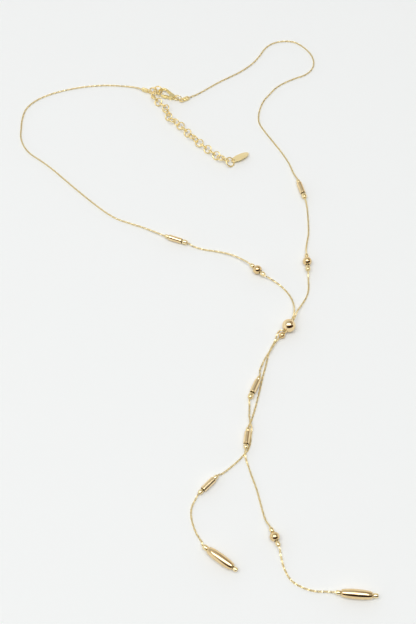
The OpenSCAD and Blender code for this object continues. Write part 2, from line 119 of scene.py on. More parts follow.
class Shape:
    """Closed surfaces that are gathered in millimetres and become one mesh."""

    def __init__(self):
        self.points, self.faces, self.count = [], [], 0

    def add(self, points, faces):
        """Adds one closed surface: its points, and its faces as arrays of equal-sided polygons."""
        points = np.asarray(points, float).reshape(-1, 3)
        self.faces += [np.atleast_2d(f) + self.count for f in outward(points, faces)]
        self.points.append(points)
        self.count += len(points)
        return self

    def skin(self, grid, ends_closed=False, loop=True):
        """Adds a grid of points [row, column, xyz]. Columns always close on themselves. Rows do too
        if loop is set, and otherwise the first and last rows may be closed by a flat polygon."""
        rows, columns = grid.shape[:2]
        faces = [grid_faces(rows, columns, loop, True)]
        if ends_closed:
            faces.append(np.arange(columns)[None, ::-1])
            faces.append(((rows - 1) * columns + np.arange(columns))[None])
        return self.add(grid, faces)

    def place(self, rotation, offset):
        """Turns and moves everything gathered so far."""
        self.points = [p @ np.asarray(rotation).T + np.asarray(offset) for p in self.points]
        return self

    def make(self, name, material, sharp=35):
        """One mesh object with its place in its mesh, in metres. Edges that turn by more than
        the angle named stay sharp."""
        points = np.concatenate(self.points) * MM
        sizes = np.concatenate([np.full(len(f), f.shape[1]) for f in self.faces])
        corners = np.concatenate([f.ravel() for f in self.faces])
        mesh = bpy.data.meshes.new(name)
        mesh.vertices.add(len(points))
        mesh.vertices.foreach_set("co", points.ravel())
        mesh.loops.add(len(corners))
        mesh.loops.foreach_set("vertex_index", corners.astype(np.int32))
        starts = np.concatenate([[0], np.cumsum(sizes)[:-1]])
        mesh.polygons.add(len(sizes))
        mesh.polygons.foreach_set("loop_start", starts.astype(np.int32))
        mesh.update(calc_edges=True)
        mesh.validate()
        mesh.shade_smooth()
        mesh.set_sharp_from_angle(angle=math.radians(sharp))
        mesh.materials.append(material)
        made = bpy.data.objects.new(name, mesh)
        bpy.context.scene.collection.objects.link(made)
        return made


def stand_for(piece, node, body="root"):
    """Lets a piece ride on its body in place of a CAD node."""
    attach(piece, body)
    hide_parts(node)
    return piece


def node_of(tree, kind, inputs=None, **settings):
    """A shader node with its settings, and its inputs set or linked."""
    made = tree.nodes.new(kind)
    for name, value in settings.items():
        setattr(made, name, value)
    for name, value in (inputs or {}).items():
        if isinstance(value, bpy.types.NodeSocket):
            tree.links.new(value, made.inputs[name])
        else:
            made.inputs[name].default_value = value
    return made


# Plated metal: where in the patches' noise the tone changes, and in the wear's noise the
# roughness, the wear's scale against the patches', and the relief's scale and depth in metres
TONE_FROM, TONE_TO = 0.35, 0.65
WEAR_FROM, WEAR_TO = 0.3, 0.7
WEAR_RATIO = 2.3
RELIEF_SCALE, RELIEF_DEPTH = 5200.0, 0.00002


def plated(name, colour, deep, rough, rough_spread, patch_scale, bump, grain=None):
    """Plated metal. Its colour drifts a little between two tones in soft patches, its roughness
    follows a second set of patches, and a fine relief breaks up the mirror. With grain, the relief
    is stretched along one axis of the piece's own coordinates, as brushing is."""
    material = bpy.data.materials.new(name)
    material.use_nodes = True
    tree = material.node_tree
    tree.nodes.clear()
    place = node_of(tree, "ShaderNodeTexCoord").outputs["Object"]
    patches = node_of(tree, "ShaderNodeTexNoise", {
        "Vector": place, "Scale": patch_scale, "Detail": 3.0})
    tone = node_of(tree, "ShaderNodeValToRGB", {"Fac": patches.outputs["Fac"]})
    low_end, high_end = tone.color_ramp.elements
    low_end.position, low_end.color = TONE_FROM, (*deep, 1)
    high_end.position, high_end.color = TONE_TO, (*colour, 1)
    wear = node_of(tree, "ShaderNodeTexNoise", {
        "Vector": place, "Scale": patch_scale * WEAR_RATIO, "Detail": 4.0})
    polish = node_of(tree, "ShaderNodeMapRange", {
        "Value": wear.outputs["Fac"], "From Min": WEAR_FROM, "From Max": WEAR_TO,
        "To Min": rough, "To Max": rough + rough_spread})
    if grain:
        rotation, stretch = grain
        place = node_of(tree, "ShaderNodeMapping", {
            "Vector": place, "Rotation": rotation, "Scale": stretch}).outputs["Vector"]
    relief = node_of(tree, "ShaderNodeTexNoise", {
        "Vector": place, "Scale": RELIEF_SCALE, "Detail": 2.0})
    raised = node_of(tree, "ShaderNodeBump", {
        "Height": relief.outputs["Fac"], "Strength": bump, "Distance": RELIEF_DEPTH})
    surface = node_of(tree, "ShaderNodeBsdfPrincipled", {
        "Base Color": tone.outputs["Color"], "Roughness": polish.outputs["Result"],
        "Normal": raised.outputs["Normal"], "Metallic": 1.0})
    node_of(tree, "ShaderNodeOutputMaterial", {"Surface": surface.outputs["BSDF"]})
    return material


# Finishes: name, light and deep tone, roughness and its spread, scale of the patches, relief
GOLD = plated("polished gold", (0.95, 0.76, 0.455), (0.90, 0.69, 0.38), 0.06, 0.05, 420, 0.04)
LONG_GOLD = plated("long bead gold", (0.88, 0.685, 0.39), (0.82, 0.615, 0.33), 0.06, 0.05, 420, 0.04)
ROUND_GOLD = plated("round bead gold", (0.86, 0.655, 0.355), (0.78, 0.57, 0.28), 0.06, 0.05, 420, 0.04)
CRIMP_GOLD = plated("crimp gold", (0.98, 0.82, 0.49), (0.92, 0.74, 0.40), 0.16, 0.08, 420, 0.06)
CLASP_GOLD = plated("clasp gold", (1.0, 0.85, 0.44), (0.96, 0.76, 0.33), 0.14, 0.06, 500, 0.06)
PALE_GOLD = plated("pale yellow gold", (1.0, 0.835, 0.43), (0.95, 0.75, 0.34), 0.28, 0.08, 500, 0.08)
CHAIN_GOLD = plated("fine chain gold", (1.0, 0.86, 0.52), (0.95, 0.79, 0.43), 0.29, 0.09, 300, 0.1)
# Painted shade: a dark brown, rough finish that stands for the shade inside the bores and mouths of
# the beads and crimps
BORE_SHADE = plated("painted shade bore", (0.05, 0.025, 0.014), (0.025, 0.014, 0.009), 0.85, 0.1, 900, 0.1)

# Bead rows: name, kind, x, y, heading, pitch, crimp before, crimp after, lift, and the space
# between the bead and the crimp after it, in millimetres
BEADS = [
    ("tube_bead_1", "tube", -0.9, 20, -21, 0, 1.9, 2.4, 0, 0.3),
    ("tube_bead_2", "tube", 59.8, 50.6, -75, 0, 1.9, 2.5, 0, 0.4),
    ("tube_bead_3", "tube", 34.9, -58.5, -113, 0, 1.9, 2.5, 0, 0.5),
    ("tube_bead_4", "short_tube", 30.9, -83, -98, 0, 1.9, 2, 0, 0.1),
    ("tube_bead_5", "tube", 14.7, -104, -134, 0, 1.9, 2, 0, 0.3),
    ("round_bead_1", "round", 37.3, 2.1, -44, 0, 2, 2.2, 0, 0.2),
    ("round_bead_2", "round", 60.6, 6.8, -88, 0, 1.9, 2.4, 0, 0.6),
    ("round_bead_3", "tail_round", 41.1, -126.7, -68, 0, 1.9, 1.9, 0, 0.2),
    ("long_bead_1", "long", 19.4, -135.6, -37, 0, 2.2, 1.9, 0, 0.2),
    ("long_bead_2", "long", 72.2, -149.9, -5, 0, 1.9, 2, 0, 0.2),
    ("slider_ball", "ball", 50.6, -28.7, -124, -15, 0, 0, 0, 0),
    ("stopper_bead", "stopper", 47.5, -32.9, -135, -10, 0, 0, 0.1, 0),
]
# Kinds of bead: length, diameter and bore in millimetres
SIZES = {
    "tube": (6.5, 2.7, 1.0),
    "short_tube": (5.6, 2.7, 1.0),
    "round": (4.2, 4.2, 1.0),
    "tail_round": (4.0, 4.0, 1.0),
    "long": (12.2, 3.9, 1.0),
    "ball": (6.0, 6.0, 2.0),
    "stopper": (2.8, 2.8, 1.0),
}
# Finish of each kind of bead
BEAD_GOLD = {"tube": GOLD, "short_tube": GOLD, "ball": GOLD, "long": LONG_GOLD,
             "round": ROUND_GOLD, "tail_round": ROUND_GOLD, "stopper": ROUND_GOLD}
# Open ends of the beads that have them: radius of the mouth, its depth and its rounded edge
MOUTH_R = {"tube": 1.05, "short_tube": 1.05, "long": 0.8, "round": 0.9, "tail_round": 0.9}
MOUTH_DEPTH, MOUTH_EDGE = 0.8, 0.05
# Rounded edge of a plain bore, and how far from a bore's wall a point still counts as on it
BORE_EDGE, BORE_SLACK = 0.12, 0.01
# Shapes: a tube's shoulders, and a long bead's ends and the power of its bulge
TUBE_SHOULDER = 0.2
LONG_END_D, LONG_POWER = 2.0, 2.2
# Crimps: gap before a bead, bore and its edge, the ends' diameter as a share of the middle's,
# and the power of the bulge
CRIMP_GAP = 0.1
CRIMP_BORE, CRIMP_EDGE = 0.9, 0.08
CRIMP_END, CRIMP_POWER = 0.72, 2
# Steps along the outline of a long bead and of a crimp, and round a bead and a crimp
LONG_STEPS, CRIMP_STEPS = 64, 22
BEAD_AROUND, CRIMP_AROUND = 64, 40
# Strands: diameter, distance of each from the ball's axis, and what stops short of the last crimp
CHAIN_D = 0.7
STRAND_OFFSET = 0.42
END_CUT = 0.3
# Marks of a route's points: free, and the beginning and end of a straight stretch
FREE, BEGINS, ENDS = 0, 1, 2


def bead_row(name):
    """The row of a bead: its kind, centre, direction, the crimps before and after it, and the
    spaces between the bead and those crimps."""
    b = next(b for b in BEADS if b[0] == name)
    centre = np.array([b[2], b[3], SIZES[b[1]][1] / 2 + b[8]])
    return b[1], centre, along(b[4], b[5]), (b[6], b[7]), (CRIMP_GAP, b[9])


def through(name, side=0.0, cut=0.0):
    """The straight stretch of a strand through a bead and its crimps, as two marked points."""
    kind, centre, way, crimps, spaces = bead_row(name)
    reach = [SIZES[kind][0] / 2 + (c + space if c else 0) for c, space in zip(crimps, spaces)]
    across = side * unit(np.array([-way[1], way[0], 0]))
    return [(*(centre - way * reach[0] + across), BEGINS),
            (*(centre + way * (reach[1] - cut) + across), ENDS)]


def lying(*points):
    """Free points of a strand, which lie on the surface unless they give a height."""
    return [(p[0], p[1], p[2] if len(p) > 2 else CHAIN_D / 2, FREE) for p in points]


# End caps: the eye, the body and its bore's depth, what the strand stops short of that depth,
# for each cap its mouth and the heading of its eye, and how far the right eye is raised
EYE_R, EYE_WIRE = 1.1, 0.5
CAP_L, CAP_W, CAP_H, CAP_DEPTH = 3.2, 2.4, 1.5, 3.0
STRAND_SHORT = 0.1
CAP_EYE = CAP_L + EYE_R - EYE_WIRE / 4
LEFT_MOUTH, LEFT_HEADING = np.array([-19.7, 115.9, EYE_R + EYE_WIRE / 2]), -22
RIGHT_MOUTH, RIGHT_HEADING = np.array([4.6, 110.6, CAP_H / 2]), 208
RIGHT_EYE_RISE = 0.25


def in_cap(mouth, heading):
    """Start of a strand, in the bore of its end cap, and the mouth where it comes out."""
    return [(*(mouth + (CAP_DEPTH - STRAND_SHORT) * along(heading)), BEGINS), (*mouth, ENDS)]


LEFT_ROUTE = [
    *in_cap(LEFT_MOUTH, LEFT_HEADING),
    *lying((-24, 117.8, 0.8), (-30, 119), (-38, 119.5), (-46, 119), (-54, 117.6), (-62, 115.3),
           (-69, 112.3), (-75, 108.2), (-79, 102.8), (-80.3, 96), (-80.3, 90), (-79.8, 83.5),
           (-77.5, 77.5), (-74, 73), (-69, 69), (-63, 63.8), (-56, 56.8), (-48, 48.8), (-40, 41.2),
           (-34, 36), (-29, 32.6), (-23, 30, 0.5), (-16, 27, 0.9), (-11, 24.5, 1.2)),
    *through("tube_bead_1"),
    *lying((8, 16, 0.8), (13, 14.5, 0.5), (19, 13.2, 0.8), (25, 11.2, 1.3), (30, 8.5, 1.6)),
    *through("round_bead_1"),
    *lying((44, -2.9, 1.2), (48, -6, 0.5), (51.5, -10.5), (53.3, -15.5, 0.8), (53.4, -21, 2.2)),
    *through("slider_ball", -STRAND_OFFSET),
    *lying((46.9, -30.7, 2.1), (45.5, -32.1, 1.7), (44.8, -34.1, 1), (43.8, -36.3), (42.5, -38.8),
           (41.3, -41.8), (40.1, -47), (38.5, -53), (36.9, -60), (34.9, -68), (33, -74.4),
           (32.1, -76.6, 0.8)),
    *through("tube_bead_4"),
    *lying((30, -90.2, 1.2), (30.3, -92.4, 0.7), (31.1, -95), (32.6, -100), (34.5, -106),
           (36.6, -115), (37.8, -119.4, 0.8)),
    *through("round_bead_3"),
    *lying((43.3, -133.8, 1), (44.5, -139), (47, -143.8), (51, -146.6), (56, -148.3, 0.6),
           (60.5, -148.7, 1.2)),
    *through("long_bead_2", cut=END_CUT),
]
RIGHT_ROUTE = [
    *in_cap(RIGHT_MOUTH, RIGHT_HEADING),
    *lying((9, 113.2, 0.5), (14, 117), (20, 121.6), (26, 125.5), (32, 129.6), (38, 135.2),
           (42, 140.9), (45, 146.2), (49, 149.9), (55, 151.7), (61, 150.9), (66, 146.8),
           (69.4, 141.5), (70.5, 136), (69.2, 131), (65.5, 127), (60, 124.4), (54.5, 121.3),
           (50, 117.8), (46.5, 113.3), (43.5, 109), (41.5, 104), (40.4, 98.5), (40.6, 93.5),
           (43, 88.2), (47.5, 80.5), (51.5, 73.5), (54.6, 67), (56.6, 60.4, 0.8)),
    *through("tube_bead_2"),
    *lying((62.1, 41, 0.7), (62.4, 36), (62.4, 30), (62.2, 24), (61.2, 18.5, 0.6), (60.5, 14, 1.4)),
    *through("round_bead_2"),
    *lying((60.8, -2.5, 0.9), (60.6, -8), (59.3, -12.3), (57, -16.5, 0.9), (54.8, -20.5, 2)),
    *through("slider_ball", STRAND_OFFSET),
    *through("stopper_bead"),
    *lying((44.6, -36.2, 1.3), (43.5, -38, 1.3), (42, -40.6, 1.3), (39.9, -44, 1.1),
           (38.2, -47.6, 0.7), (37.2, -50.4, 1.1)),
    *through("tube_bead_3"),
    *lying((32.3, -67.5, 0.9), (32.2, -70.3, 1.1), (32.1, -73, 1.4), (32.4, -75.4, 1.6),
           (32.7, -76.9, 1.6), (33, -78.4, 1.3), (32.9, -80, 0.7), (32.6, -82), (32.4, -84.3),
           (31.8, -86.9), (31, -88.6), (29.4, -90.5), (27.4, -92.8), (24.2, -95.8),
           (20.5, -99, 0.8)),
    *through("tube_bead_5"),
    *lying((9.6, -109.8, 0.6), (7.8, -114), (7.8, -118.5), (9.6, -124.3), (12, -128.5, 0.8)),
    *through("long_bead_1", cut=END_CUT),
]


def smooth_line(route, step):
    """Points at equal steps on a smooth line through a route. Between two points it is a cubic
    whose tangents are the directions from the point before to the point after, times the
    distance between the two, and from the beginning to the end of a straight stretch it is
    straight. Returns the points, their tangents and their distances along the line."""
    p = np.array([r[:3] for r in route])
    mark = np.array([r[3] for r in route])
    before, after = np.r_[p[:1], p[:-1]], np.r_[p[1:], p[-1:]]
    ahead = np.where((mark == ENDS)[:, None], p, after)
    tangent = unit(ahead - np.where((mark == BEGINS)[:, None], p, before))
    chord = np.linalg.norm(p[1:] - p[:-1], axis=1)[:, None, None]
    u = np.linspace(0, 1, 33)[None, :-1, None]
    line = ((2 * u**3 - 3 * u**2 + 1) * p[:-1, None]
            + (u**3 - 2 * u**2 + u) * chord * tangent[:-1, None]
            + (3 * u**2 - 2 * u**3) * p[1:, None]
            + (u**3 - u**2) * chord * tangent[1:, None])
    line = np.r_[line.reshape(-1, 3), p[-1:]]
    length = np.r_[0, np.cumsum(np.linalg.norm(np.diff(line, axis=0), axis=1))]
    s = np.arange(step / 2, length[-1], step)
    points = np.stack([np.interp(s, length, line[:, k]) for k in range(3)], 1)
    return points, unit(np.gradient(points, axis=0)), s


LINK_PITCH = 0.5
LINK_LONG, LINK_HIGH, LINK_WALL, LINK_BAND = 0.8, 0.7, 0.14, 0.42
LINK_CHAMFER = 0.17
TWIST_PERIOD = 2.65


def box_link():
    """One link of the box chain: an eight-sided band, long along X, high along Y, wide along Z.
    Its points are the band's outer and inner edges at each of its eight corners."""
    def octagon(half_long, half_high, chamfer):
        """The eight corners of an oblong whose own corners are cut off."""
        x, y, c = half_long, half_high, chamfer
        return np.array([[x, y - c], [x - c, y], [c - x, y], [-x, y - c],
                         [-x, c - y], [c - x, -y], [x - c, -y], [x, c - y]])
    outer = octagon(LINK_LONG / 2, LINK_HIGH / 2, LINK_CHAMFER)
    inner = octagon(LINK_LONG / 2 - LINK_WALL, LINK_HIGH / 2 - LINK_WALL, LINK_CHAMFER / 2)
    low, high = -LINK_BAND / 2, LINK_BAND / 2
    edges = [np.c_[outer, np.full(8, high)], np.c_[outer, np.full(8, low)],
             np.c_[inner, np.full(8, low)], np.c_[inner, np.full(8, high)]]
    return np.stack(edges, 1)


def box_chain(name, node, route):
    """A strand of box chain: links at equal steps along the route, each a quarter turn on from
    the last, with the whole strand twisted by a quarter turn in each period."""
    place, way, s = smooth_line(route, LINK_PITCH)
    across = unit(np.stack([-way[:, 1], way[:, 0], 0 * way[:, 0]], 1))
    up = np.cross(way, across)
    angle = np.pi / 2 * (np.arange(len(s)) % 2 + s / TWIST_PERIOD)
    a = np.cos(angle)[:, None] * across + np.sin(angle)[:, None] * up
    axes = np.stack([way, a, np.cross(way, a)], 1)
    link = box_link()
    points = (link.reshape(1, -1, 3) @ axes + place[:, None]).reshape(-1, 3)
    per_link = grid_faces(8, 4, True, True)
    faces = per_link[None] + (np.arange(len(s)) * 32)[:, None, None]
    piece = Shape().add(points, [faces.reshape(-1, 4)]).make(name, CHAIN_GOLD, sharp=20)
    return stand_for(piece, node)


box_chain("box_chain_left", "chain_left", LEFT_ROUTE)
box_chain("box_chain_right", "chain_right", RIGHT_ROUTE)


def turned(profile, centre, way, around):
    """A closed profile of radius and height, turned about an axis that runs along the way."""
    side = unit(np.array([-way[1], way[0], 0]))
    up = np.cross(way, side)
    a = np.linspace(0, 2 * np.pi, around, endpoint=False)
    spoke = np.cos(a)[:, None] * side + np.sin(a)[:, None] * up
    r, z = np.array(profile).T
    return centre + r[:, None, None] * spoke[None] + z[:, None, None] * way


def lip(radius, z, size, outward_sign):
    """The rounded edge of a bore: a quarter of a circle from the bead's face to the bore's wall."""
    a = np.radians([90, 60, 30, 0])
    return [(radius + size - size * math.cos(t),
             z - outward_sign * (size - size * math.sin(t))) for t in a]


def bored(outline, bore, size):
    """An outline from the far end to the near end, closed round a bore with edges rounded by a
    size."""
    first, last = outline[0], outline[-1]
    return [*outline, *lip(bore / 2, last[1], size, math.copysign(1, last[1])),
            *reversed(lip(bore / 2, first[1], size, math.copysign(1, first[1])))]


def hollow_ended(outline, bore, mouth, depth):
    """An outline closed round a bore whose two mouths are widened to a radius and a depth."""
    half = outline[-1][1]
    upper = [*lip(mouth, half, MOUTH_EDGE, 1), (mouth, half - depth), (bore / 2, half - depth)]
    return [*outline, *upper, *[(r, -z) for r, z in reversed(upper)]]


def shade_bore(piece, centre, way, radius):
    """Gives the dark painted-shade finish, which stands for the shade inside a bore and its mouth, to
    the faces whose corners all lie within a radius of the axis.
    """
    mesh = piece.data
    mesh.materials.append(BORE_SHADE)
    points = np.empty(len(mesh.vertices) * 3)
    mesh.vertices.foreach_get("co", points)
    out = points.reshape(-1, 3) / MM - centre
    far = np.linalg.norm(out - (out @ way)[:, None] * way, axis=1) > radius + BORE_SLACK
    corners = np.empty(len(mesh.loops), np.int32)
    mesh.loops.foreach_get("vertex_index", corners)
    starts = np.empty(len(mesh.polygons), np.int32)
    mesh.polygons.foreach_get("loop_start", starts)
    far_corners = np.add.reduceat(far[corners].astype(int), starts)
    mesh.polygons.foreach_set("material_index", (far_corners == 0).astype(np.int32))


def ball_outline(d, end_r, steps=56):
    """Half circle of a ball, between the two circles of a radius where its bore begins."""
    edge = math.asin(end_r / (d / 2))
    a = np.linspace(math.pi - edge, edge, steps)
    return [(d / 2 * math.sin(t), d / 2 * math.cos(t)) for t in a]


def barrel_outline(l, d, end_d, power, steps):
    """Bulge between two flat ends. Its radius is the end's, plus the rise times the share left
    when the distance from the middle is raised to the power. Steps crowd towards the ends."""
    u = np.sin(np.linspace(-math.pi / 2, math.pi / 2, steps))
    r = end_d / 2 + (d - end_d) / 2 * (1 - np.abs(u)**power)**(1 / power)
    return list(zip(r, u * l / 2))


def tube_outline(l, d, rounding):
    """Straight tube with quarter-round shoulders."""
    a = np.radians(np.linspace(0, 90, 9))
    shoulder = [(d / 2 - rounding + rounding * math.cos(t),
                 l / 2 - rounding + rounding * math.sin(t)) for t in a]
    lower = [(r, -z) for r, z in reversed(shoulder)]
    middle = [(d / 2, z) for z in np.linspace(-l / 2 + rounding, l / 2 - rounding, 12)[1:-1]]
    return lower + middle + shoulder


def bead_profile(kind):
    """The closed profile that a kind of bead is turned from, and the radius of its mouth."""
    l, d, bore = SIZES[kind]
    mouth = MOUTH_R.get(kind, bore / 2)
    if kind in ("tube", "short_tube"):
        outline = tube_outline(l, d, TUBE_SHOULDER)
    elif kind == "long":
        outline = barrel_outline(l, d, LONG_END_D, LONG_POWER, LONG_STEPS)
    elif kind in ("round", "tail_round"):
        outline = ball_outline(d, mouth + MOUTH_EDGE)
        return hollow_ended(outline, bore, mouth, MOUTH_DEPTH - (d / 2 - outline[-1][1])), mouth
    else:
        return bored(ball_outline(d, mouth + BORE_EDGE), bore, BORE_EDGE), mouth
    return hollow_ended(outline, bore, mouth, MOUTH_DEPTH), mouth


def bead(name):
    """One bead, turned from its kind's profile."""
    kind, centre, way, _, _ = bead_row(name)
    profile, mouth = bead_profile(kind)
    solid = Shape().skin(turned(profile, centre, way, BEAD_AROUND))
    piece = solid.make("gold_" + name, BEAD_GOLD[kind])
    shade_bore(piece, centre, way, mouth)
    return stand_for(piece, name)


def crimp(number, centre, way, size):
    """One small barrel that is pressed on the chain beside a bead."""
    outline = barrel_outline(size, size, size * CRIMP_END, CRIMP_POWER, CRIMP_STEPS)
    barrel = Shape().skin(turned(bored(outline, CRIMP_BORE, CRIMP_EDGE), centre, way, CRIMP_AROUND))
    piece = barrel.make(f"gold_crimp_{number}", CRIMP_GOLD)
    shade_bore(piece, centre, way, CRIMP_BORE / 2)
    return stand_for(piece, f"crimp_bead_{number}")


crimp_number = 0
for bead_name in [b[0] for b in BEADS]:
    bead(bead_name)
    bead_kind, bead_centre, bead_way, crimp_sizes, crimp_spaces = bead_row(bead_name)
    for side, crimp_size, space in zip((-1, 1), crimp_sizes, crimp_spaces):
        if crimp_size:
            crimp_number += 1
            beyond = SIZES[bead_kind][0] / 2 + space + crimp_size / 2
            crimp(crimp_number, bead_centre + side * beyond * bead_way, bead_way, crimp_size)


def wire_ring(r, wire, slit=0.0, slit_at=0.0, around=56, section=16):
    """The points of a ring of round wire in the XY plane, and whether it is whole. With a slit,
    its two cut ends face each other."""
    gap = slit / r
    u = math.radians(slit_at) + (np.linspace(gap / 2, 2 * np.pi - gap / 2, around) if slit
                                 else np.linspace(0, 2 * np.pi, around, endpoint=False))
    v = np.linspace(0, 2 * np.pi, section, endpoint=False)
    u, v = np.meshgrid(u, v, indexing="ij")
    out = r + wire / 2 * np.cos(v)
    grid = np.stack([out * np.cos(u), out * np.sin(u), wire / 2 * np.sin(v)], -1)
    return grid, not slit


def ring_piece(name, node, r, wire, rotation, centre, slit=0.04, slit_at=90.0):
    """A jump ring with its fine slit, in its place."""
    grid, whole = wire_ring(r, wire, slit, slit_at)
    shape = Shape().skin(grid, ends_closed=not whole, loop=whole).place(rotation, centre)
    return stand_for(shape.make(name, PALE_GOLD), node)


# Clasp, in its own frame: +X from the tail eye to the nose, +Y to the lever's side. First its
# heading and pitch, its thickness, its tail's height, and the centre and radius of its bend
CLASP_HEADING, CLASP_PITCH = 155.4, 4.4
CLASP_T, CLASP_Z = 1.9, 1.0
BEND, HOOK_R = np.array([7.3, 0.0]), 2.6
# Rings at the clasp: radius, wire and lean, and how far past the bend, and to the side of the
# clasp's middle, the catch ring's centre lies
TAIL_RING_R, TAIL_RING_WIRE, TAIL_RING_LEAN = 1.95, 0.5, 80
CATCH_R, CATCH_WIRE, CATCH_LEAN = 2.0, 0.65, 62
CATCH_PAST, CATCH_ASIDE = 0.45, 0.3
JUMP_R, JUMP_WIRE, JUMP_CENTRE = 1.95, 0.7, np.array([-13.94, 114.63, 1.63])
clasp_way = along(CLASP_HEADING)
clasp_side = np.array([-clasp_way[1], clasp_way[0], 0])
right_eye = RIGHT_MOUTH + CAP_EYE * along(RIGHT_HEADING) + [0, 0, RIGHT_EYE_RISE]
lean_sin = math.sin(math.radians(TAIL_RING_LEAN))
tail_ring_z = TAIL_RING_R * lean_sin + TAIL_RING_WIRE / 2


def ring_turn(z):
    """How far down round the tail ring, in radians, its wire meets a height."""
    return math.asin((tail_ring_z - z) / (TAIL_RING_R * lean_sin))


middle_turn = ring_turn((CLASP_Z + right_eye[2]) / 2)
ring_side = TAIL_RING_R * math.cos(math.radians(TAIL_RING_LEAN)) * math.sin(middle_turn)
run_to_cap = TAIL_RING_R * math.cos(ring_turn(right_eye[2]))
run_to_clasp = TAIL_RING_R * math.cos(ring_turn(CLASP_Z))
tail_ring_centre = right_eye + run_to_cap * clasp_way + ring_side * clasp_side
tail_ring_centre[2] = tail_ring_z
clasp_tail = right_eye + (run_to_cap + run_to_clasp) * clasp_way
clasp_tail[2] = CLASP_Z
CLASP_TURN = turn(0, -CLASP_PITCH, CLASP_HEADING)
ring_piece("tail_jump_ring", "jump_ring_right", TAIL_RING_R, TAIL_RING_WIRE,
           turn(0, 0, CLASP_HEADING) @ turn(TAIL_RING_LEAN, 0, 0), tail_ring_centre)
catch_centre = (clasp_tail + (BEND[0] + HOOK_R + CATCH_PAST) * clasp_way
                - CATCH_ASIDE * clasp_side)
catch_centre[2] = CATCH_R * math.sin(math.radians(CATCH_LEAN)) + CATCH_WIRE / 2
ring_piece("catch_ring_wire", "catch_ring", CATCH_R, CATCH_WIRE,
           turn(0, 0, CLASP_HEADING) @ turn(-CATCH_LEAN, 0, 0), catch_centre, slit_at=70.0)
ring_piece("left_jump_ring", "jump_ring_left", JUMP_R, JUMP_WIRE,
           turn(0, 0, 0), JUMP_CENTRE, slit_at=15.0)


# What is left of a bar's section at its very end, which a flat face closes
BAR_TIP = 0.12


def bar(line, widths, heights, power, section=20, round_end=0.5):
    """A bar with an oblong section, swept along a line in the XY plane, with rounded ends. Its
    section is a circle raised to a power, times half the bar's width and half its height there.
    At each end the section shrinks as a quarter circle does."""
    line = np.asarray(line, float)
    length = np.r_[0, np.cumsum(np.linalg.norm(np.diff(line, axis=0), axis=1))]
    cap = round_end * (1 - np.cos(np.linspace(0, np.pi / 2, 6)))
    inner = np.linspace(round_end, length[-1] - round_end, len(line) * 2)
    s = np.r_[cap[:-1], inner, length[-1] - cap[:-1][::-1]]
    x, y = (np.interp(s, length, line[:, k]) for k in (0, 1))
    w, h = (np.interp(s, length, k) for k in (widths, heights))
    near = np.clip(np.minimum(s, length[-1] - s) / round_end, 0, 1)
    shrink = np.maximum(np.sqrt(1 - (1 - near)**2), BAR_TIP)
    t = unit(np.stack([np.gradient(x, s), np.gradient(y, s)], 1))
    a = np.linspace(0, 2 * np.pi, section, endpoint=False)
    c, n = np.cos(a), np.sin(a)
    side = np.sign(c) * np.abs(c)**power
    rise = np.sign(n) * np.abs(n)**power
    out = (shrink * w / 2)[:, None] * side
    return np.stack([x[:, None] - t[:, 1:] * out, y[:, None] + t[:, :1] * out,
                     (shrink * h / 2)[:, None] * rise], -1)


def slab(outline, low, high, edge):
    """A plate with rounded edges between two heights. Each row of points is the outline, drawn
    in along its own normals by the share that a quarter circle of the edge's radius gives."""
    outline = np.asarray(outline, float)
    ahead = np.roll(outline, -1, 0)
    chord = ahead - np.roll(outline, 1, 0)
    area = np.sum(outline[:, 0] * ahead[:, 1] - ahead[:, 0] * outline[:, 1])
    normal = unit(np.stack([chord[:, 1], -chord[:, 0]], 1)) * np.sign(area)
    a = np.radians(np.linspace(0, 90, 6))
    inset = edge * (1 - np.sin(a))
    lift = edge * (1 - np.cos(a))
    rows = [(i, low + l) for i, l in zip(inset, lift)]
    rows += [(i, high - l) for i, l in zip(inset[::-1], lift[::-1])]
    return np.stack([np.c_[outline - i * normal, np.full(len(outline), z)] for i, z in rows])


def rounded(corners, share=0.3, steps=5):
    """A closed outline whose corners are turned into short curves: each is a parabola from a
    point a share of the way along one side to the same share along the next."""
    corners = np.asarray(corners, float)
    before, after = np.roll(corners, 1, 0), np.roll(corners, -1, 0)
    start, end = corners + share * (before - corners), corners + share * (after - corners)
    u = np.linspace(0, 1, steps)[None, :, None]
    curve = (1 - u)**2 * start[:, None] + 2 * u * (1 - u) * corners[:, None] + u**2 * end[:, None]
    return curve.reshape(-1, 2)


def circle_outline(centre, r, count=28):
    """A circle as a closed outline."""
    a = np.linspace(0, 2 * np.pi, count, endpoint=False)
    return np.stack([centre[0] + r * np.cos(a), centre[1] + r * np.sin(a)], 1)


# The lever's pivot, where the hook begins, the angles round the bend at the hook's nose and where
# its straight part ends, and the slot between the cheeks
PIVOT = np.array([2.7, 0.9])
HOOK_START = np.array([2.0, -0.7])
TIP_ANGLE, ARCH_ANGLE = 60, 115
SLOT_T = 1.0
# The hook's widths and heights at shares of its length, and the power of its section
HOOK_SHARES = [0, 0.3, 0.8, 1]
HOOK_WIDTHS, HOOK_HEIGHTS = [1.25, 1.15, 1.15, 0.95], [1.75, 1.5, 1.5, 1.25]
HOOK_POWER = 0.8
# Cheeks, the web between them, and the pin: rounded edges, the web's step below the cheeks'
# faces, the pin's radius and what it stands out
CHEEK_EDGE, WEB_EDGE, WEB_STEP = 0.18, 0.1, 0.1
PIN_R, PIN_OUT, PIN_EDGE = 0.4, 0.05, 0.1
# Lever: the hub's radius, half the thickness of the part in the slot, and half the blade's
HUB_R, LEVER_HALF, LEVER_EDGE = 0.85, 0.4, 0.08
BLADE_HALF, BLADE_EDGE = 0.7, 0.25
# How far the web's and the lever root's corners are rounded, as shares of their sides
WEB_CORNER, ROOT_CORNER = 0.15, 0.12
